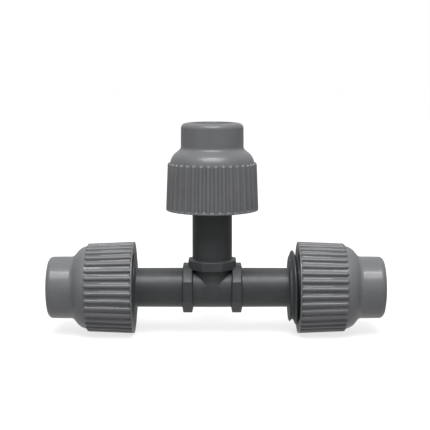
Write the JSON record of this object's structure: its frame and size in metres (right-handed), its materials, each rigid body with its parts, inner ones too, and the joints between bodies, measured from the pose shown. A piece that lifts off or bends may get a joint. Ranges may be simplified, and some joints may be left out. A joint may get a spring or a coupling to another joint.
{
  "type": "tee fitting",
  "caption": "Hand-tight compression tee: a moulded body with octagonal wrench rings and a ribbed screw nut, grip ring, washer and cone seal on each outlet.",
  "frame": {"origin": "the point where the centrelines of the run and the branch meet", "axes": "+X along the run to the right outlet, +Z along the branch towards its nut, -Y towards the viewer"},
  "size_m": [0.1351, 0.0368, 0.0847],
  "materials": {
    "body_plastic": "satin dark charcoal moulded acetal",
    "nut_plastic": "satin mid grey moulded acetal",
    "grip_ring_plastic": "natural off-white acetal",
    "washer_plastic": "natural off-white acetal",
    "seal_rubber": "matt black rubber"
  },
  "bodies": {
    "tee": {"tee_body": "body_plastic", "left_cone_seal": "seal_rubber", "right_cone_seal": "seal_rubber", "branch_cone_seal": "seal_rubber"},
    "left_ring_pack": {"left_thrust_washer": "washer_plastic", "left_grip_ring": "grip_ring_plastic"},
    "left_nut": {"left_nut": "nut_plastic"},
    "right_ring_pack": {"right_thrust_washer": "washer_plastic", "right_grip_ring": "grip_ring_plastic"},
    "right_nut": {"right_nut": "nut_plastic"},
    "branch_ring_pack": {"branch_thrust_washer": "washer_plastic", "branch_grip_ring": "grip_ring_plastic"},
    "branch_nut": {"branch_nut": "nut_plastic"}
  },
  "joints": [
    {"name": "left_nut_travel", "type": "slide", "parent": "tee", "child": "left_ring_pack", "axis": [-1, 0, 0], "range_m": [-0.0011, 0.0134]},
    {"name": "left_nut_turn", "type": "hinge", "parent": "left_ring_pack", "child": "left_nut", "pos_m": [-0.05, 0, 0], "axis": [-1, 0, 0], "range_deg": [-120, 1515]},
    {"name": "right_nut_travel", "type": "slide", "parent": "tee", "child": "right_ring_pack", "axis": [1, 0, 0], "range_m": [-0.0042, 0.0103]},
    {"name": "right_nut_turn", "type": "hinge", "parent": "right_ring_pack", "child": "right_nut", "pos_m": [0.05, 0, 0], "axis": [1, 0, 0], "range_deg": [-475, 1165]},
    {"name": "branch_nut_travel", "type": "slide", "parent": "tee", "child": "branch_ring_pack", "axis": [0, 0, 1], "range_m": [-0.00135, 0.01315]},
    {"name": "branch_nut_turn", "type": "hinge", "parent": "branch_ring_pack", "child": "branch_nut", "pos_m": [0, 0, 0.05], "axis": [0, 0, 1], "range_deg": [-150, 1490]}
  ],
  "couplings": [
    {"joint": "left_nut_travel", "follows": "left_nut_turn", "m_per_rad": 0.00050532},
    {"joint": "right_nut_travel", "follows": "right_nut_turn", "m_per_rad": 0.00050532},
    {"joint": "branch_nut_travel", "follows": "branch_nut_turn", "m_per_rad": 0.00050532}
  ]
}
